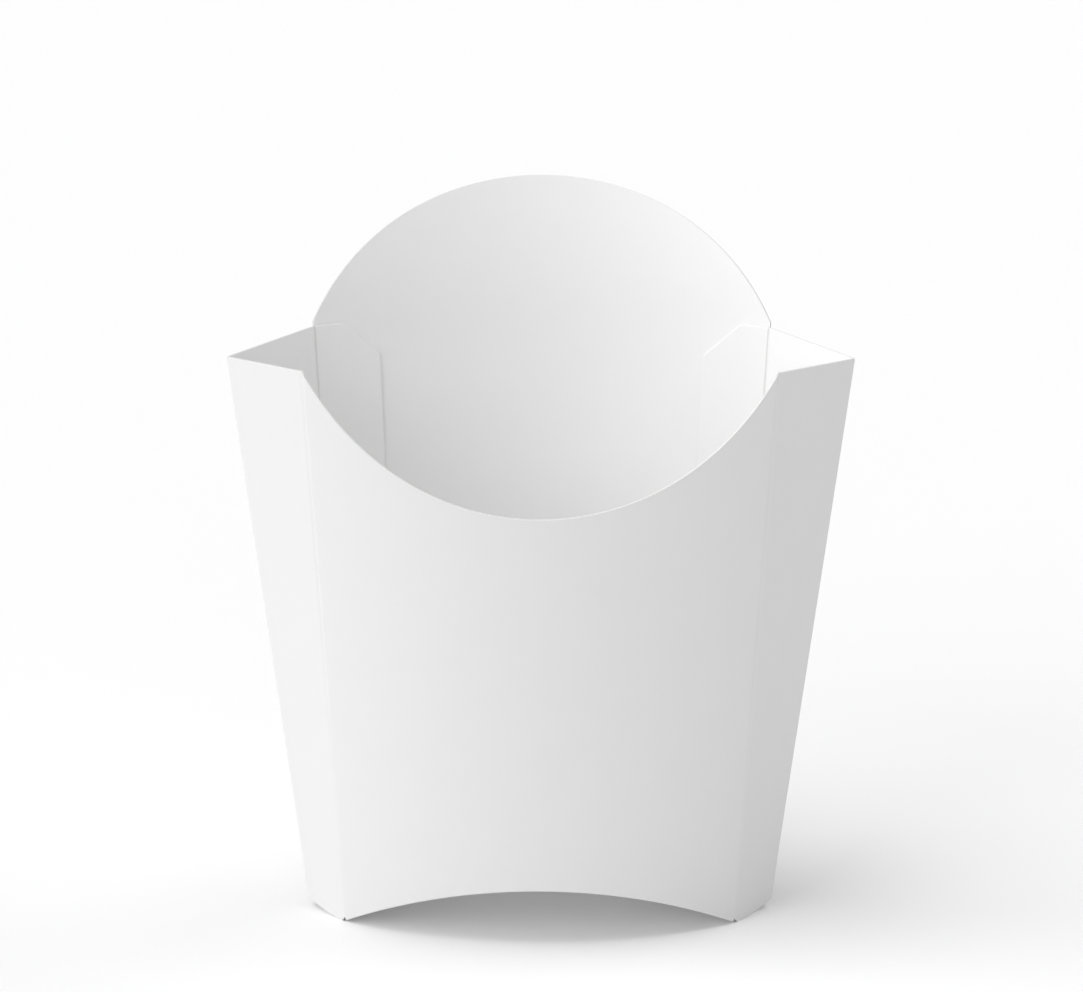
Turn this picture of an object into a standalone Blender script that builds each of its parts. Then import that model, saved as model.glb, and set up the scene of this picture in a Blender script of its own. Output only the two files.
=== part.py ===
"""Empty scoop carton for french fries: one die-cut board, folded and glued.

The front panel, two side gussets, an arched base and a tall back panel are one
sheet of board. Each gusset ends in a flap that is glued to the inside of the back
panel. Front and back bow outwards as parts of cones, so the curved creases at
their foot push the base up into an arch. The carton stands on the two straight
ends of its base. X runs across the carton, the front faces -Y and Z is up. The
origin lies on the table, under the middle of the whole carton. Sizes are in
millimetres, on the outer face of the board.
"""
import math

import bmesh
import bpy

MM = 0.001

BOARD = 0.4                     # thickness of the board
GLUE_LINE = 0.1                 # glue between a flap and the back panel
BACK_FACE = BOARD + GLUE_LINE   # the back panel's outer face, off the face of the flaps

# Each pair below is the value at the foot of the carton and at its top
CREASE_HALF = (38.0, 44.65)     # half the distance between a bowed panel's two creases
CREASE_DEPTH = (9.2, 20.0)      # how far a crease lies in front of or behind the outer folds
FOLD_HALF = (45.4, 60.0)        # half the distance between the outer folds of the gussets
FOLD_Z = (2.0, 110.7)           # the two ends of an outer fold
CREASE_TOP = 112.4
BOW = math.radians(36.2)        # a bowed panel turns through twice this angle

SCOOP_LOW = 86.9                # lowest point of the front panel's top edge
SCOOP_ROUND = 0.547             # roundness of that edge, 1 being a half circle
ARCH_FOOT = 113.2               # the back panel's side edges end here, where its arch starts
ARCH_TOP = 139.2
ARCH_ROUND = 0.557
BASE_RISE = 11.1                # height of the arch in the base

# Glue flaps: shares of the way from the middle of the back panel to its crease, and heights
FLAP_SHOULDER = 0.865           # the level edges end here and the chamfers start
FLAP_EDGE = 0.697               # the upright inner edge
FLAP_CHAMFER = 7.0
FLAP_LOW = 6.0                  # lower edge, clear of the base
GLUE_MARGIN = 3.0

BACK_TRIM = 0.99                # the back panel is cut just short of its creases
CORNER_NOTCH = 0.6              # relief cut where a gusset leaves the front corner
BACK_RELIEF = 1.0               # the back corner of a gusset clears the base

COLUMNS = 32
FLAP_COLUMNS = 3


def cap(t, roundness):
    """Height, 0 at t = -1 and 1 and 1 at t = 0, of a circular cap of that proportion."""
    radius = (1 + roundness ** 2) / (2 * roundness)
    return (math.sqrt(radius ** 2 - t * t) - (radius - roundness)) / roundness


def panel_point(t, z, side, out=0.0):
    """Point of the bowed front (side -1) or back (side 1) panel, `out` off its surface.

    t runs from -1 to 1, from one crease to the other.
    """
    share = z / CREASE_TOP
    half = CREASE_HALF[0] + (CREASE_HALF[1] - CREASE_HALF[0]) * share
    depth = CREASE_DEPTH[0] + (CREASE_DEPTH[1] - CREASE_DEPTH[0]) * share
    radius = half / math.sin(BOW)
    centre = depth - radius * math.cos(BOW)
    x = (radius + out) * math.sin(BOW * t)
    y = centre + (radius + out) * math.cos(BOW * t)
    return (x, side * y, z)


def base_height(t):
    """Height of the curved crease at the foot of a bowed panel."""
    arch_radius = (CREASE_HALF[0] ** 2 + BASE_RISE ** 2) / (2 * BASE_RISE)
    z = 0.0
    for _ in range(12):
        x = min(abs(panel_point(t, z, 1)[0]), CREASE_HALF[0])
        z = math.sqrt(arch_radius ** 2 - x * x) - (arch_radius - BASE_RISE)
    return max(z, 0.0)


def scoop_height(t):
    return CREASE_TOP - (CREASE_TOP - SCOOP_LOW) * cap(t, SCOOP_ROUND)


def arch_height(t):
    return ARCH_FOOT + (ARCH_TOP - ARCH_FOOT) * cap(t, ARCH_ROUND)


# The outer folds lie this far in front of the middle of the whole carton
MIDDLE_Y = (panel_point(0, ARCH_TOP, 1, BACK_FACE)[1] + panel_point(0, SCOOP_LOW, -1)[1]) / 2


def spread(start, end, steps):
    return [start + (end - start) * i / steps for i in range(steps + 1)]


def flap_ends(t):
    """Lower and upper height of a glue flap at that share of the half panel."""
    slope = max(0.0, FLAP_SHOULDER - abs(t)) / (FLAP_SHOULDER - FLAP_EDGE)
    return FLAP_LOW + FLAP_CHAMFER * slope, CREASE_TOP - FLAP_CHAMFER * slope


def add_strip(bm, columns):
    """Join neighbouring columns of points, each listed upwards, by one face each."""
    for first, second in zip(columns, columns[1:]):
        corners = [first[0], *second, *reversed(first[1:])]
        bm.faces.new([bm.verts.new((x * MM, (y - MIDDLE_Y) * MM, z * MM)) for x, y, z in corners])


def mirrored(columns):
    """The same strip on the other side of the carton, still running anticlockwise."""
    flipped = [[(-x, y, z) for x, y, z in column] for column in columns]
    return flipped[::-1]


def front_columns():
    columns = []
    for t in spread(-1.0, 1.0, COLUMNS):
        heights = [base_height(t), scoop_height(t)]
        if abs(t) == 1.0:
            heights.insert(1, CORNER_NOTCH)
        columns.append([panel_point(t, z, -1) for z in heights])
    return columns


def back_columns():
    """The back panel lies outside the glue flaps."""
    return [[panel_point(t * BACK_TRIM, z, 1, BACK_FACE) for z in (base_height(t), arch_height(t))]
            for t in spread(1.0, -1.0, COLUMNS)]


def base_columns():
    """The base, from the foot of the front panel to the foot of the back panel."""
    columns = []
    for t in spread(1.0, -1.0, COLUMNS):
        z = base_height(t)
        columns.append([panel_point(t, z, -1), panel_point(t * BACK_TRIM, z, 1, BACK_FACE)])
    return columns


def gusset_columns():
    """The right-hand gusset, from the front crease round the outer fold to the back crease."""
    front_crease = [panel_point(1.0, z, -1) for z in (CORNER_NOTCH, CREASE_TOP)]
    outer_fold = [(half, 0.0, z) for half, z in zip(FOLD_HALF, FOLD_Z)]
    back_crease = [panel_point(1.0, z, 1) for z in (BACK_RELIEF, FLAP_LOW, CREASE_TOP)]
    return [front_crease, outer_fold, back_crease]


def flap_shares():
    return spread(1.0, FLAP_SHOULDER, 2)[:-1] + spread(FLAP_SHOULDER, FLAP_EDGE, FLAP_COLUMNS)


def flap_columns():
    return [[panel_point(t, z, 1) for z in flap_ends(t)] for t in flap_shares()]


def glue_columns():
    """Outer face of the glue under a flap, reaching half a board into the back panel."""
    columns = []
    for t in flap_shares()[1:-1]:
        low, high = flap_ends(t)
        heights = (low + GLUE_MARGIN, high - GLUE_MARGIN)
        columns.append([panel_point(t, z, 1, GLUE_LINE + BOARD / 2) for z in heights])
    return columns


def sheet_object(name, strips, thickness, material):
    """An object whose strips of faces share their creases, thickened inwards."""
    bm = bmesh.new()
    for columns in strips:
        add_strip(bm, columns)
    bmesh.ops.remove_doubles(bm, verts=bm.verts, dist=0.001 * MM)
    mesh = bpy.data.meshes.new(name)
    bm.to_mesh(mesh)
    bm.free()
    mesh.materials.append(material)
    mesh.shade_smooth()
    mesh.set_sharp_from_angle(angle=math.radians(10))
    sheet = bpy.data.objects.new(name, mesh)
    bpy.context.scene.collection.objects.link(sheet)
    solidify = sheet.modifiers.new("board thickness", "SOLIDIFY")
    solidify.thickness = thickness * MM
    solidify.offset = -1.0
    solidify.use_even_offset = True
    solidify.use_quality_normals = True
    return sheet


def paperboard():
    material = bpy.data.materials.new("white paperboard")
    material.use_nodes = True
    shader = material.node_tree.nodes["Principled BSDF"]
    shader.inputs["Base Color"].default_value = (0.87, 0.87, 0.86, 1.0)
    shader.inputs["Roughness"].default_value = 0.55
    shader.inputs["Metallic"].default_value = 0.0
    return material


def build():
    for old in list(bpy.data.objects):
        bpy.data.objects.remove(old)
    board = paperboard()

    gusset, flap, glue = gusset_columns(), flap_columns(), glue_columns()
    strips = [front_columns(), back_columns(), base_columns(),
              gusset, mirrored(gusset), flap, mirrored(flap)]
    carton = sheet_object("carton", strips, BOARD, board)

    patches = sheet_object("glue", [glue, mirrored(glue)], GLUE_LINE + BOARD, board)
    patches.hide_render = True
    patches.display_type = "WIRE"
    join = carton.modifiers.new("glued flaps", "BOOLEAN")
    join.operation = "UNION"
    join.object = patches


build()
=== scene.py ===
"""An empty scoop carton for french fries, in white folding boxboard, on a pale floor.

The carton is one folded sheet: a bowed front and back panel, two gussets with
their outer folds and glue flaps, and an arched base with a wing at each end. A
Geometry Nodes tree lays out its panels by the rules of the die cut, rolls the
board over at each fold, presses the score lines into it and gives it its
thickness. Three finishes cover it: the coated outside, the uncoated inside and
the raw cut edge.
"""
import math
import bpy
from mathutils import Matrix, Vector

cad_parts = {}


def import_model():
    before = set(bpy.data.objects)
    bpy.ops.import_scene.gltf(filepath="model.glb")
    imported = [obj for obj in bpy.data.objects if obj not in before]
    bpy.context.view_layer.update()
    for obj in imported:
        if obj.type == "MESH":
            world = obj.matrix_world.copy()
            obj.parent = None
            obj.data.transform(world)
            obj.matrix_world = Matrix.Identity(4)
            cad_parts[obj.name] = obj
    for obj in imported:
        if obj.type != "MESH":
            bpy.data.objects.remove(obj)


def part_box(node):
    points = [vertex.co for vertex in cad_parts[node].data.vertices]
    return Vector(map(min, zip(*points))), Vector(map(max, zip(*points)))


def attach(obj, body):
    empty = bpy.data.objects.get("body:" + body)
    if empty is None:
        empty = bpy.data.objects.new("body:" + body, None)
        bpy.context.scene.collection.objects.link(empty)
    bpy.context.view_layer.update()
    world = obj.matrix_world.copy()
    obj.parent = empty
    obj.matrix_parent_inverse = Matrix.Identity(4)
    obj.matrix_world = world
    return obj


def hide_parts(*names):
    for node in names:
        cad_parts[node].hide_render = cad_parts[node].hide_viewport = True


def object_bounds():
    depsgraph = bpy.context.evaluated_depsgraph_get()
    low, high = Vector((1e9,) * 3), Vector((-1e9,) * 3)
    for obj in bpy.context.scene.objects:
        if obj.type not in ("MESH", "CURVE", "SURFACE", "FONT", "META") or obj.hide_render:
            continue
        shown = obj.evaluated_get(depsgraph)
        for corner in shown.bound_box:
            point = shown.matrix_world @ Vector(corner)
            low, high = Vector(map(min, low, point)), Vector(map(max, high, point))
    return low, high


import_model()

from types import SimpleNamespace

import bpy
from mathutils import Matrix, Vector

MM = 0.001
SOLID = "carton"
CAD_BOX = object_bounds()

# Sizes of the folded sheet in millimetres, on the outer face of the board. X runs
# across the carton, the front faces -Y, and the sheet is laid out with its outer
# folds at y = 0.
SIZES = {
    "board": 0.4,
    "glue_line": 0.1,
    # The bowed panels: half the distance between their creases, and how far those
    # creases lie in front of or behind the outer folds
    "crease_half_foot": 38.0,
    "crease_half_top": 44.65,
    "crease_depth_foot": 9.2,
    "crease_depth_top": 20.0,
    "crease_top": 112.4,
    # The gussets' outer folds
    "fold_half_foot": 45.7,
    "fold_half_top": 60.17,
    "fold_z_foot": 2.0,
    "fold_z_top": 110.7,
    # Heights of the front panel's hollow rim and the back panel's arch
    "scoop_low": 86.9,
    "arch_foot": 113.2,
    "arch_top": 139.1,
    # The base, and the wing at each of its ends
    "base_rise": 11.0,
    "wing_tip": 44.4,
    "wing_back_z": 0.8,
    # Cuts: the glue flap's corners and lower edge, the gusset's back corner, and the
    # relief cut of a front corner with the painted shade round it
    "flap_chamfer": 7.0,
    "flap_low": 6.0,
    "back_relief": 0.6,
    "relief_height": 0.8,
    "relief_panel": 0.35,
    "relief_gusset": 0.45,
    "corner_dark": 0.55,
    "corner_fade": 0.95,
    # Folds and score lines
    "side_roll": 0.5,
    "foot_roll": 0.4,
    "score_width": 0.6,
    "score_fade": 80.0,
    "front_groove": 0.12,
    "back_groove": 0.06,
    "back_bead": 0.15,
    "crack_width": 0.4,
    "crack_depth": 0.25,
    # The crushed rim of a glue flap, and the wave in the board
    "rim_width": 0.35,
    "rim_depth": 0.08,
    "wave": 0.1,
}
# Shares and angles of the same sheet
SHARES = {
    "bow": math.radians(36.2),      # a bowed panel turns through twice this angle
    "scoop_round": 0.547,           # roundness of an edge, 1 being a half circle
    "arch_round": 0.557,
    "back_trim": 0.996,             # share of the width that the back panel keeps
    "flap_shoulder": 0.865,         # shares of the way from the panel's middle to its crease
    "flap_edge": 0.697,
    "flap_relief": 0.985,
    "wing_taper": 0.93,             # share of its depth that a wing loses towards its tip
}

PANEL_COLUMNS = 96
PANEL_ROWS = 64
BASE_ROWS = 40
WING_COLUMNS = 16
GUSSET_COLUMNS = 48
FLAP_COLUMNS = 40
CROWDING = 0.97                     # of a grid's points towards its edges: 0 none, 1 the most
WELD = 0.0005 * MM                  # points closer than this become one
BASE_CUT = 2.0                      # a corner's relief cut reaches this much further into the base
CHAMFER_SLANT = 0.75                # distance from a chamfered edge, as a share of the height to it
WAVE_LENGTH = 45.0 * MM
WAVE_START = (2.0 * MM, 20.0 * MM)  # the wave fades in between these heights
SHARP_ANGLE = math.radians(40)


class Wire:
    """A socket in a node tree. Operators on wires add the Math or Vector Math nodes they need."""

    def __init__(self, tree, socket=None):
        self.tree = tree
        self.socket = socket

    def make(self, kind, settings=(), inputs=(), output=0):
        """Add a node: its settings first, then the value or wires of each input."""
        node = self.tree.nodes.new(kind)
        for name, value in dict(settings).items():
            setattr(node, name, value)
        for key, value in dict(inputs).items():
            for item in value if isinstance(value, list) else [value]:
                if isinstance(item, Wire):
                    self.tree.links.new(item.socket, node.inputs[key])
                else:
                    node.inputs[key].default_value = item
        return Wire(self.tree, node.outputs[output] if node.outputs else None)

    def output(self, name):
        """Another output of the node that this wire comes from."""
        return Wire(self.tree, self.socket.node.outputs[name])

    def combine(self, operation, first, second):
        vectors = any(isinstance(w, Wire) and w.socket.type == "VECTOR" for w in (first, second))
        if not vectors:
            return self.make("ShaderNodeMath", {"operation": operation}, {0: first, 1: second})
        pair = [(w, w, w) if isinstance(w, (int, float)) else w for w in (first, second)]
        return self.make("ShaderNodeVectorMath", {"operation": operation}, enumerate(pair))

    def math(self, operation, *others):
        return self.make("ShaderNodeMath", {"operation": operation}, enumerate((self, *others)))

    def normalised(self):
        return self.make("ShaderNodeVectorMath", {"operation": "NORMALIZE"}, {0: self})

    def length(self):
        return self.make("ShaderNodeVectorMath", {"operation": "LENGTH"}, {0: self}, "Value")

    def __add__(self, other):
        return self.combine("ADD", self, other)

    def __radd__(self, other):
        return self.combine("ADD", other, self)

    def __sub__(self, other):
        return self.combine("SUBTRACT", self, other)

    def __rsub__(self, other):
        return self.combine("SUBTRACT", other, self)

    def __mul__(self, other):
        return self.combine("MULTIPLY", self, other)

    def __rmul__(self, other):
        return self.combine("MULTIPLY", other, self)

    def __truediv__(self, other):
        return self.combine("DIVIDE", self, other)

    def __rtruediv__(self, other):
        return self.combine("DIVIDE", other, self)

    def __neg__(self):
        return self.combine("MULTIPLY", self, -1.0)


def between(first, second, share):
    """The value or vector at that share of the way from the first to the second."""
    return first + (second - first) * share


def point(x, y, z):
    """A vector from three numbers or wires, of which at least one is a wire."""
    wire = next(w for w in (x, y, z) if isinstance(w, Wire))
    return wire.make("ShaderNodeCombineXYZ", {}, {"X": x, "Y": y, "Z": z})


def smooth_step(value, start, end):
    """0 up to the start and 1 from the end on, with a soft rise between them."""
    ends = {"Value": value, "From Min": start, "From Max": end, "To Min": 0.0, "To Max": 1.0}
    return value.make("ShaderNodeMapRange", {"interpolation_type": "SMOOTHSTEP"}, ends)


def noise(place, size, detail=2.0, roughness=0.5):
    """Soft noise from 0 to 1 whose blobs are about `size` metres across."""
    return place.make("ShaderNodeTexNoise", {}, {
        "Vector": place, "Scale": 1.0 / size, "Detail": detail, "Roughness": roughness}, "Fac")


# ---------------------------------------------------------------- rules of the sheet

def cap(t, roundness):
    """Height, 0 at t = -1 and 1 and 1 at t = 0, of a circular cap of that proportion."""
    radius = (1 + roundness * roundness) / (2 * roundness)
    height = (radius * radius - t * t).math("SQRT")
    return (height - (radius - roundness)) / roundness


def bowed_point(size, t, z, side, out=0.0):
    """Point of the bowed front (side -1) or back (side 1) panel, `out` off its surface."""
    share = z / size.crease_top
    half = between(size.crease_half_foot, size.crease_half_top, share)
    depth = between(size.crease_depth_foot, size.crease_depth_top, share)
    radius = half / size.bow.math("SINE")
    centre = depth - radius * size.bow.math("COSINE")
    angle = size.bow * t
    y = centre + (radius + out) * angle.math("COSINE")
    return point((radius + out) * angle.math("SINE"), y * float(side), z)


def arc_length(size, t, z):
    """How far a point of a bowed panel lies from the panel's nearer crease."""
    share = z / size.crease_top
    half = between(size.crease_half_foot, size.crease_half_top, share)
    return (1.0 - t.math("ABSOLUTE")) * size.bow * half / size.bow.math("SINE")


def base_height(size, t):
    """Height of the curved crease at the foot of a bowed panel.

    The base is a circular arch, so the height solves a quadratic: the crease lies
    both on the arch and on the leaning, bowed panel.
    """
    arch_radius = (size.crease_half_foot * size.crease_half_foot
                   + size.base_rise * size.base_rise) / (2.0 * size.base_rise)
    sink = arch_radius - size.base_rise
    across = (size.bow * t).math("SINE") / size.bow.math("SINE")
    foot = size.crease_half_foot * across
    lean = (size.crease_half_top - size.crease_half_foot) / size.crease_top * across
    square = 1.0 + lean * lean
    linear = foot * lean + sink
    constant = foot * foot + sink * sink - arch_radius * arch_radius
    root = (linear * linear - square * constant).math("SQRT")
    return ((root - linear) / square).math("MAXIMUM", 0.0)


def crease_point(size, z, side):
    """Point of the right-hand crease of the front (side -1) or back (side 1) panel."""
    share = z / size.crease_top
    half = between(size.crease_half_foot, size.crease_half_top, share)
    depth = between(size.crease_depth_foot, size.crease_depth_top, share)
    return point(half, depth * float(side), z)


def fold_point(size, share):
    """Point of the right-hand outer fold, at that share of its height."""
    return point(between(size.fold_half_foot, size.fold_half_top, share), 0.0,
                 between(size.fold_z_foot, size.fold_z_top, share))


def roll(width, distance, ways):
    """Shift of a point at that distance from a fold, so that the board rolls over it.

    `ways` is the sum of the two unit vectors that leave the fold along its two panels.
    """
    nearness = (1.0 - distance / width).math("MAXIMUM", 0.0) * 0.5
    return ways * (width * nearness * nearness)


def crease_ways(size, z, side):
    """Both ways along the board from the right-hand crease of a bowed panel."""
    gusset = (fold_point(size, z / size.crease_top) - crease_point(size, z, side)).normalised()
    panel = point(-size.bow.math("COSINE"), size.bow.math("SINE") * float(side), 0.0)
    return gusset + panel


def foot_ways(size, t, side):
    """Both ways along the board from the foot of a bowed panel: up it and across the base."""
    up = bowed_point(size, t, size.crease_top, side) - bowed_point(size, t, 0.0 * t, side)
    return up.normalised() + point(0.0 * t, -float(side), 0.0)


def score_line(size, distance):
    """Cross section of a pressed score line: 1 in its middle, 0 from its edges on."""
    reach = distance / size.score_width
    return (1.0 - reach * reach).math("MAXIMUM", 0.0).math("POWER", 2.0)


def crack_line(size, distance):
    """Cross section of the crack along the inside of a back crease: 1 in its middle."""
    return (1.0 - distance / size.crack_width).math("MAXIMUM", 0.0)


def cracked_bead(size, distance):
    """Extra thickness along a back crease: a bead that opened again along its middle."""
    crack = crack_line(size, distance).math("POWER", 2.0)
    return size.back_bead * score_line(size, distance) - size.crack_depth * crack


def front_score(size, distance, z):
    """Depth of a front crease's score line, which the fold smooths out towards the foot."""
    return size.front_groove * score_line(size, distance) * smooth_step(z, 0.0, size.score_fade)


def corner_relief(size, distance, width):
    """How far the relief cut of a front corner reaches, at that distance from the crease."""
    share = (distance / width).math("MINIMUM", 1.0)
    return size.relief_height * (1.0 - share * share)


def corner_shade(size, distance, z):
    """1 on the painted shade round the relief cut of a front corner, 0 away from it."""
    return 1.0 - smooth_step(distance + z, size.corner_dark, size.corner_fade)


# ---------------------------------------------------------------- panels as grids

def panel_grid(graph, columns, rows):
    """A flat grid, and its two coordinates from 0 to 1, crowded towards its edges."""
    grid = graph.make("GeometryNodeMeshGrid", {}, {
        "Size X": 1.0, "Size Y": 1.0, "Vertices X": columns + 1, "Vertices Y": rows + 1})
    spot = graph.make("ShaderNodeSeparateXYZ", {}, {0: graph.make("GeometryNodeInputPosition")})
    return grid, crowded(spot + 0.5), crowded(spot.output("Y") + 0.5)


def crowded(share):
    """Even steps from 0 to 1, made finer towards both ends."""
    return share - (share * math.tau).math("SINE") * (CROWDING / math.tau)


def shaped(grid, place, groove=0.0, bead=0.0, crack=0.0, corner=0.0):
    """Move a grid's points into place and keep with them what the press does there, and where shade
    is painted.
    """
    for name, value in (("groove", groove), ("bead", bead), ("crack", crack), ("corner", corner)):
        grid = marked(grid, name, "POINT", value)
    return place.make("GeometryNodeSetPosition", {}, {"Geometry": grid, "Position": place})


def mirror_of(sheet):
    """The same panels on the other side of the carton, with their outer faces still outside."""
    turned = sheet.make("GeometryNodeTransform", {}, {"Geometry": sheet, "Scale": (-1, 1, 1)})
    return turned.make("GeometryNodeFlipFaces", {}, {"Mesh": turned})


def front_panel(graph, size):
    grid, across, up = panel_grid(graph, PANEL_COLUMNS, PANEL_ROWS)
    t = across * 2.0 - 1.0
    low = base_height(size, t) + corner_relief(size, arc_length(size, t, 0.0), size.relief_panel)
    high = size.crease_top - (size.crease_top - size.scoop_low) * cap(t, size.scoop_round)
    z = between(low, high, up)
    to_crease = arc_length(size, t, z)
    mirrored = point(t.math("SIGN"), 1.0, 1.0)   # the left-hand crease rolls the other way
    place = (bowed_point(size, t, z, -1)
             + roll(size.side_roll, to_crease, crease_ways(size, z, -1)) * mirrored
             + roll(size.foot_roll, z - low, foot_ways(size, t, -1)))
    return shaped(grid, place, front_score(size, to_crease, z),
                  corner=corner_shade(size, to_crease, z))


def back_panel(graph, size):
    """The back panel lies outside the glue flaps and is cut just short of its creases."""
    grid, across, up = panel_grid(graph, PANEL_COLUMNS, PANEL_ROWS)
    t = 1.0 - across * 2.0
    low = base_height(size, t)
    high = size.arch_foot + (size.arch_top - size.arch_foot) * cap(t, size.arch_round)
    z = between(low, high, up)
    trimmed = t * size.back_trim
    place = (bowed_point(size, trimmed, z, 1, size.board + size.glue_line)
             + roll(size.foot_roll, z - low, foot_ways(size, trimmed, 1)))
    return shaped(grid, place)


def base_point(size, t, back):
    """Point of the arched base, at that share of the way from its front edge to its back edge."""
    z = base_height(size, t)
    trimmed = t * size.back_trim
    front_foot = bowed_point(size, t, z, -1)
    back_foot = bowed_point(size, trimmed, z, 1, size.board + size.glue_line)
    length = (back_foot - front_foot).length()
    start = corner_relief(size, arc_length(size, t, 0.0), size.relief_panel) * BASE_CUT / length
    share = between(start, 1.0, back)
    return (between(front_foot, back_foot, share)
            + roll(size.foot_roll, length * share, foot_ways(size, t, -1))
            + roll(size.foot_roll, length * (1.0 - share), foot_ways(size, trimmed, 1)))


def base_panel(graph, size):
    grid, across, back = panel_grid(graph, PANEL_COLUMNS, BASE_ROWS)
    return shaped(grid, base_point(size, 1.0 - across * 2.0, back))


def base_wing(graph, size):
    """The right-hand end of the base, a point that closes the foot of the gusset from inside."""
    grid, across, back = panel_grid(graph, WING_COLUMNS, BASE_ROWS)
    away = 1.0 - across
    side_edge = base_point(size, 1.0 + 0.0 * across, back)
    hinge = graph.make("ShaderNodeSeparateXYZ", {}, {0: side_edge})
    rise = between(size.fold_z_foot, size.wing_back_z, back) * away * away
    place = point(between(hinge, size.wing_tip, away),
                  hinge.output("Y") * (1.0 - size.wing_taper * away),
                  hinge.output("Z") + rise)
    return shaped(grid, place)


def gusset_half(graph, size, side):
    """The right-hand gusset on one side of its outer fold, front (-1) or back (1)."""
    grid, across, up = panel_grid(graph, GUSSET_COLUMNS, PANEL_ROWS)
    away = across if side < 0 else 1.0 - across
    foot = (fold_point(size, 0.0) - crease_point(size, 0.0, side)).length() * away
    start = corner_relief(size, foot, size.relief_gusset) if side < 0 else size.back_relief
    z = between(start - size.fold_z_foot * away, size.crease_top, up)
    crease = crease_point(size, z, side)
    fold = fold_point(size, up)
    length = (fold - crease).length()
    to_crease = length * away
    fold_ways = point(1.0, 0.0 * up, 1.0) * (crease - fold).normalised() * 2.0
    place = (between(crease, fold, away)
             + roll(size.side_roll, to_crease, crease_ways(size, z, side))
             + roll(size.side_roll, length - to_crease, fold_ways))
    if side < 0:
        return shaped(grid, place, front_score(size, to_crease, z),
                      corner=corner_shade(size, to_crease, z))
    return shaped(grid, place, size.back_groove * score_line(size, to_crease),
                  cracked_bead(size, to_crease), crack_line(size, to_crease))


def flap(graph, size):
    """The right-hand glue flap, from the back crease inwards, with chamfered corners."""
    grid, across, up = panel_grid(graph, FLAP_COLUMNS, PANEL_ROWS)
    t = between(1.0, size.flap_edge, across)
    slope = ((size.flap_shoulder - t) / (size.flap_shoulder - size.flap_edge)).math("MAXIMUM", 0.0)
    low = size.flap_low + size.flap_chamfer * slope
    low = between(low, size.back_relief, smooth_step(t, size.flap_relief, 1.0))
    high = size.crease_top - size.flap_chamfer * slope
    z = between(low, high, up)
    to_crease = arc_length(size, t, z)
    to_edge = arc_length(size, size.flap_edge, z) - to_crease
    to_rim = to_edge.math("MINIMUM", (high - z).math("MINIMUM", z - low) * CHAMFER_SLANT)
    rim = (1.0 - to_rim / size.rim_width).math("MAXIMUM", 0.0).math("POWER", 2.0)
    place = bowed_point(size, t, z, 1) + roll(size.side_roll, to_crease, crease_ways(size, z, 1))
    return shaped(grid, place, size.back_groove * score_line(size, to_crease),
                  cracked_bead(size, to_crease) - size.rim_depth * rim,
                  crack_line(size, to_crease))


def pressed(sheet, size):
    """Press the score lines in from outside, and let the board wave a little."""
    graph = Wire(sheet.tree)
    groove = named_value(graph, "groove")
    spot = graph.make("GeometryNodeInputPosition")
    height = graph.make("ShaderNodeSeparateXYZ", {}, {0: spot}).output("Z")
    wave = noise(spot, WAVE_LENGTH, 1.0, 0.4) * smooth_step(height, *WAVE_START)
    depth = groove + size.wave * wave
    shift = graph.make("GeometryNodeInputNormal") * -depth
    return graph.make("GeometryNodeSetPosition", {}, {"Geometry": sheet, "Offset": shift})


def named_value(graph, name):
    return graph.make("GeometryNodeInputNamedAttribute", {"data_type": "FLOAT"}, {"Name": name},
                      "Attribute")


def marked(sheet, name, domain, value):
    """The sheet with a named value kept on its points or faces."""
    return sheet.make("GeometryNodeStoreNamedAttribute", {"data_type": "FLOAT", "domain": domain},
                      {"Geometry": sheet, "Name": name, "Value": value})


def thickened(sheet, size):
    """Give the sheet its thickness inwards. `ply` runs from 0 outside to 1 inside."""
    graph = Wire(sheet.tree)
    walls = graph.make("GeometryNodeExtrudeMesh", {"mode": "FACES"}, {
        "Mesh": sheet, "Individual": False,
        "Offset Scale": -(size.board + named_value(graph, "bead"))}, "Mesh")
    inner = walls.output("Top")
    cut = walls.output("Side")
    shell = marked(walls, "inner_face", "FACE", inner)
    shell = marked(shell, "cut_edge", "FACE", cut)
    shell = marked(shell, "ply", "POINT", inner)
    shell = graph.make("GeometryNodeFlipFaces", {}, {"Mesh": shell})
    both = graph.make("GeometryNodeJoinGeometry", {}, {"Geometry": [sheet, shell]})
    return graph.make("GeometryNodeMergeByDistance", {}, {"Geometry": both, "Distance": WELD})


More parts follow.
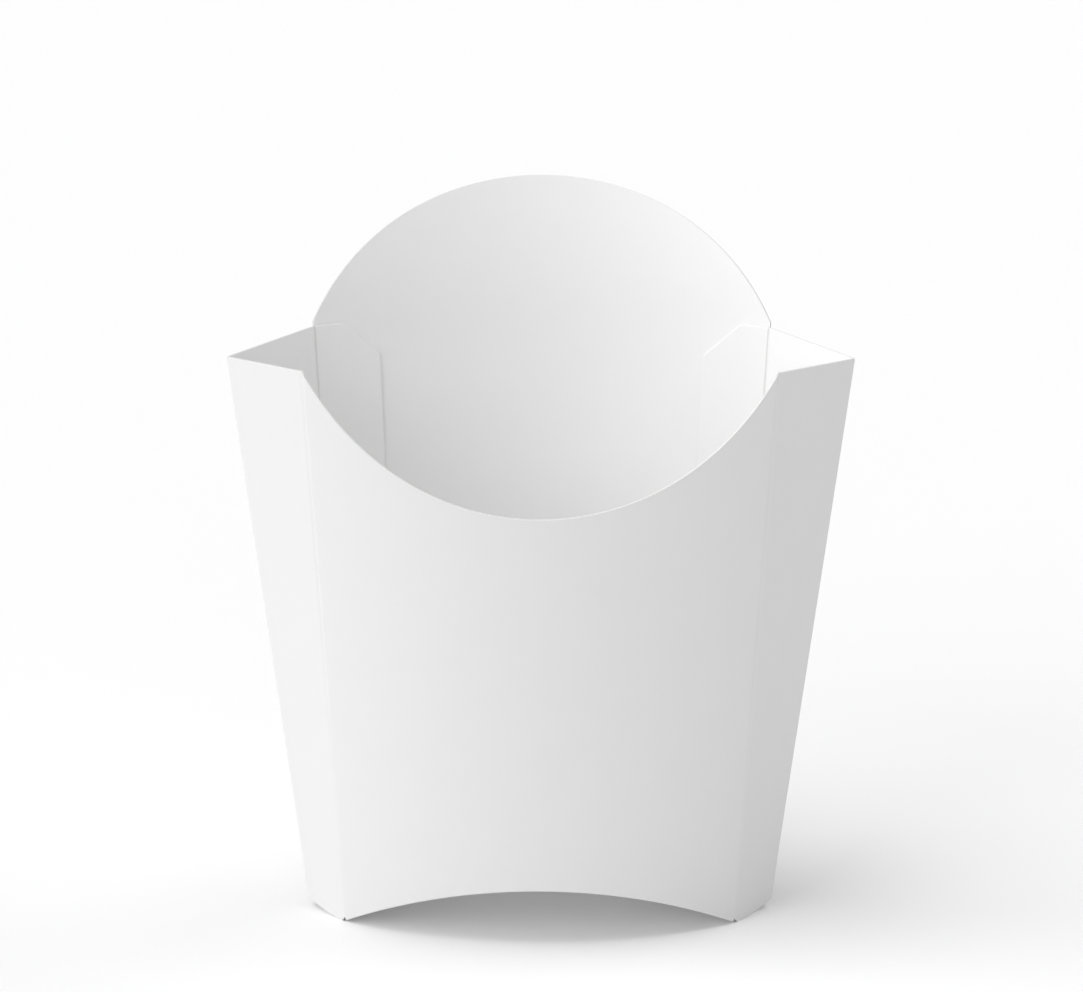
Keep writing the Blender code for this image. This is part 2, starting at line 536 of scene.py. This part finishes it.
def carton_tree(outside, inside, edge):
    """The tree that lays out, folds, scores and thickens the sheet, with its sizes as inputs."""
    tree = bpy.data.node_groups.new("folded carton", "GeometryNodeTree")
    tree.is_modifier = True
    tree.interface.new_socket(name="Carton", in_out="OUTPUT", socket_type="NodeSocketGeometry")
    for name in (*SIZES, *SHARES):
        tree.interface.new_socket(name=name, in_out="INPUT", socket_type="NodeSocketFloat")
    graph = Wire(tree)
    given = graph.make("NodeGroupInput")
    size = SimpleNamespace(**{name: given.output(name) for name in (*SIZES, *SHARES)})

    ends = [gusset_half(graph, size, -1), gusset_half(graph, size, 1), flap(graph, size),
            base_wing(graph, size)]
    side = graph.make("GeometryNodeJoinGeometry", {}, {"Geometry": ends})
    panels = [front_panel(graph, size), back_panel(graph, size), base_panel(graph, size),
              side, mirror_of(side)]
    sheet = graph.make("GeometryNodeJoinGeometry", {}, {"Geometry": panels})
    sheet = graph.make("GeometryNodeMergeByDistance", {}, {"Geometry": sheet, "Distance": WELD})
    carton = thickened(pressed(sheet, size), size)
    carton = graph.make("GeometryNodeRealizeInstances", {}, {"Geometry": carton})
    for material, where in ((outside, True), (inside, named_value(graph, "inner_face")),
                            (edge, named_value(graph, "cut_edge"))):
        carton = graph.make("GeometryNodeSetMaterial", {}, {
            "Geometry": carton, "Selection": where, "Material": material})
    graph.make("NodeGroupOutput", {}, {"Carton": carton})
    return tree


def folded_carton():
    """The carton as a plain mesh, standing where the solid stands."""
    tree = carton_tree(coated_face(), uncoated_face(), cut_edge())
    board = bpy.data.objects.new("carton_board", bpy.data.meshes.new("carton_board"))
    bpy.context.scene.collection.objects.link(board)
    folding = board.modifiers.new("folding", "NODES")
    folding.node_group = tree
    given = SHARES | {name: value * MM for name, value in SIZES.items()}
    for item in tree.interface.items_tree:
        if item.in_out == "INPUT":
            folding[item.identifier] = given[item.name]
    evaluated = board.evaluated_get(bpy.context.evaluated_depsgraph_get())
    mesh = bpy.data.meshes.new_from_object(evaluated)
    board.modifiers.remove(folding)
    board.data = mesh
    mesh.name = "carton_board"
    low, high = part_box(SOLID)
    middle = (extent(mesh, 1, min) + extent(mesh, 1, max)) / 2
    shift = ((low.x + high.x) / 2, (low.y + high.y) / 2 - middle, low.z - extent(mesh, 2, min))
    mesh.transform(Matrix.Translation(shift))
    mesh.shade_smooth()
    mesh.set_sharp_from_angle(angle=SHARP_ANGLE)
    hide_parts(SOLID)
    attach(board, "root")


def extent(mesh, axis, pick):
    """The least or the greatest coordinate of a mesh along an axis."""
    return pick(vertex.co[axis] for vertex in mesh.vertices)


# ---------------------------------------------------------------- finishes

# The mean, darkest and lightest colour of each finish
COATED = ((0.775, 0.775, 0.775), (0.768, 0.768, 0.768), (0.782, 0.782, 0.782))
UNCOATED = ((0.935, 0.935, 0.935), (0.925, 0.925, 0.923), (0.945, 0.945, 0.945))
CUT = ((0.76, 0.76, 0.76), (0.72, 0.72, 0.717), (0.79, 0.79, 0.787))
# The colour in the back creases' cracks, partly broken fibres and partly painted shade,
# and the painted shade round the front corners' relief cuts, each with how far the board takes it
# on
CRACK_FIBRES_AND_SHADE = ((0.5, 0.5, 0.495), 0.35)
PAINTED_CORNER_SHADE = ((0.1, 0.1, 0.1), 0.8)

# The least and the greatest roughness
COATED_ROUGHNESS = (0.46, 0.54)
UNCOATED_ROUGHNESS = (0.75, 0.85)

# The width of each pattern's blobs, and the depth of each finish's relief
COATING_CLOUD = 9.0 * MM
COATING_PEEL = 1.1 * MM
COATING_GRAIN = 0.35 * MM
COATING_DEPTH = 0.012 * MM
PEEL_SHARE = 0.6                # of the coating's relief, the grain being the rest
FIBRE_CLOUD = 5.0 * MM
FIBRE_WIDTH = 0.5 * MM
FIBRE_RUN = (1.0, 1.0, 0.35)    # the fibres are drawn out along Z
FIBRE_DEPTH = 0.02 * MM
CUT_FUZZ = 0.6 * MM
CUT_PLIES = 7.0                 # streaks across the board's thickness
CUT_DEPTH = 0.03 * MM


def finish(name, colour, roughness):
    """A new material and its shader, even all over until something is plugged in."""
    material = bpy.data.materials.new(name)
    material.use_nodes = True
    shader = material.node_tree.nodes["Principled BSDF"]
    shader.inputs["Base Color"].default_value = (*colour, 1.0)
    shader.inputs["Roughness"].default_value = roughness
    return material, shader


def plug(wire, shader, name):
    wire.tree.links.new(wire.socket, shader.inputs[name])


def object_place(graph):
    return graph.make("ShaderNodeTexCoord", {}, {}, "Object")


def kept(graph, name):
    """A value that the sheet keeps on its points."""
    return graph.make("ShaderNodeAttribute", {"attribute_name": name}, {}, "Fac")


def tinted(share, first, second):
    """The colour at that share of the way between two others. The first may be a wire."""
    first, second = (c if isinstance(c, Wire) else (*c, 1.0) for c in (first, second))
    return share.make("ShaderNodeMix", {"data_type": "RGBA"}, {
        "Factor": share, "A": first, "B": second}, "Result")


def relief(height, distance):
    return height.make("ShaderNodeBump", {}, {"Height": height, "Distance": distance})


def coated_face():
    """White clay coating: an even soft sheen over a faint orange peel."""
    mean, dark, light = COATED
    material, shader = finish("coated board", mean, sum(COATED_ROUGHNESS) / 2)
    graph = Wire(material.node_tree)
    place = object_place(graph)
    cloud = noise(place, COATING_CLOUD, 3.0)
    peel = noise(place, COATING_PEEL)
    grain = noise(place, COATING_GRAIN, 1.0)
    # Painted shade: the board darkens almost to black round each front corner's relief cut,
    # standing in for the shadow in the notch
    shade, share = PAINTED_CORNER_SHADE
    board = tinted(kept(graph, "corner") * share, tinted(cloud, dark, light), shade)
    plug(board, shader, "Base Color")
    plug(between(*COATED_ROUGHNESS, peel), shader, "Roughness")
    plug(relief(between(grain, peel, PEEL_SHARE), COATING_DEPTH), shader, "Normal")
    return material


def uncoated_face():
    """Bare fibres: matt, with fine streaks along the run of the board."""
    mean, dark, light = UNCOATED
    material, shader = finish("uncoated board", mean, sum(UNCOATED_ROUGHNESS) / 2)
    graph = Wire(material.node_tree)
    place = object_place(graph)
    fibres = noise(place * FIBRE_RUN, FIBRE_WIDTH, 3.0, 0.6)
    cloud = noise(place, FIBRE_CLOUD, 3.0)
    # The back creases' cracks are darkened in colour: partly broken fibres, partly painted shade
    # that deepens the groove's shadow
    shade, share = CRACK_FIBRES_AND_SHADE
    board = tinted(kept(graph, "crack") * share, tinted((cloud + fibres) * 0.5, dark, light), shade)
    plug(board, shader, "Base Color")
    plug(between(*UNCOATED_ROUGHNESS, fibres), shader, "Roughness")
    plug(relief(fibres, FIBRE_DEPTH), shader, "Normal")
    return material


def cut_edge():
    """The die-cut edge shows the plies as fine streaks along it."""
    mean, dark, light = CUT
    material, shader = finish("cut edge", mean, 0.9)
    graph = Wire(material.node_tree)
    fuzz = noise(object_place(graph), CUT_FUZZ, 3.0, 0.7)
    layers = noise(point(kept(graph, "ply") * CUT_PLIES, fuzz, 0.0), 1.0)
    # Painted shade: the cut edge darkens almost to black round each front corner's relief cut,
    # standing in for the shadow in the notch
    shade, share = PAINTED_CORNER_SHADE
    board = tinted(kept(graph, "corner") * share, tinted(layers, dark, light), shade)
    plug(board, shader, "Base Color")
    plug(relief((layers + fuzz) * 0.5, CUT_DEPTH), shader, "Normal")
    return material


# ---------------------------------------------------------------- studio

# Broad soft lights: the way round from the camera's side (left is negative) and the
# height, in degrees, then the strength and the width in degrees. A light of strength 1
# makes a white surface that faces it fully white.
LIGHTS = {
    "left": (-45, 30, 0.233, 40),
    "low_left": (-90, 20, 0.282, 40),
    "high_left": (-75, 70, 0.232, 40),
    "front": (0, 20, 0.12, 40),
    "back_right": (110, 45, 0.143, 40),
    "top": (0, 90, 0.242, 40),
}
SURROUND = 0.25
FLOOR_SIZE = 8.0
# The floor's white, and the glow that stands for the rest of the studio's white sweep
FLOOR_WHITE = 0.873
FLOOR_GLOW = 0.059

# The camera, in metres from the middle of the carton's foot, with its tilt, pan and
# roll in radians, and its lens and sensor in millimetres
CAMERA_PLACE = (0.00553, -0.84674, 0.30088)
CAMERA_TILT = 0.2523
CAMERA_PAN = 0.00635
CAMERA_ROLL = 0.00167
LENS = 150.53
SENSOR = 36.0


def floor():
    half = FLOOR_SIZE / 2
    corners = [(-half, -half, 0), (half, -half, 0), (half, half, 0), (-half, half, 0)]
    mesh = bpy.data.meshes.new("floor")
    mesh.from_pydata(corners, [], [(0, 1, 2, 3)])
    plane = bpy.data.objects.new("floor", mesh)
    bpy.context.scene.collection.objects.link(plane)
    plane.location.z = CAD_BOX[0][2]
    material, shader = finish("floor", (FLOOR_WHITE,) * 3, 0.9)
    shader.inputs["Specular IOR Level"].default_value = 0.0
    shader.inputs["Emission Color"].default_value = (1.0, 1.0, 1.0, 1.0)
    shader.inputs["Emission Strength"].default_value = FLOOR_GLOW
    mesh.materials.append(material)


def lights():
    for name, (azimuth, height, strength, width) in LIGHTS.items():
        light = bpy.data.lights.new(name, "SUN")
        light.energy = strength * math.pi
        light.angle = math.radians(width)
        lamp = bpy.data.objects.new(name, light)
        bpy.context.scene.collection.objects.link(lamp)
        turn, rise = math.radians(azimuth), math.radians(height)
        towards = Vector((math.sin(turn) * math.cos(rise), -math.cos(turn) * math.cos(rise),
                          math.sin(rise)))
        lamp.rotation_euler = towards.to_track_quat("Z", "Y").to_euler()


def world():
    studio = bpy.data.worlds.new("studio")
    studio.use_nodes = True
    background = studio.node_tree.nodes["Background"]
    background.inputs["Color"].default_value = (1.0, 1.0, 1.0, 1.0)
    background.inputs["Strength"].default_value = SURROUND
    bpy.context.scene.world = studio
    bpy.context.scene.view_settings.view_transform = "Standard"


def camera():
    data = bpy.data.cameras.new("camera")
    data.sensor_width = SENSOR
    data.lens = LENS
    view = bpy.data.objects.new("camera", data)
    bpy.context.scene.collection.objects.link(view)
    view.matrix_world = (Matrix.Translation(CAMERA_PLACE) @ Matrix.Rotation(CAMERA_PAN, 4, "Z")
                         @ Matrix.Rotation(math.pi / 2 - CAMERA_TILT, 4, "X")
                         @ Matrix.Rotation(CAMERA_ROLL, 4, "Z"))
    bpy.context.scene.camera = view


camera()
world()
lights()
floor()
folded_carton()
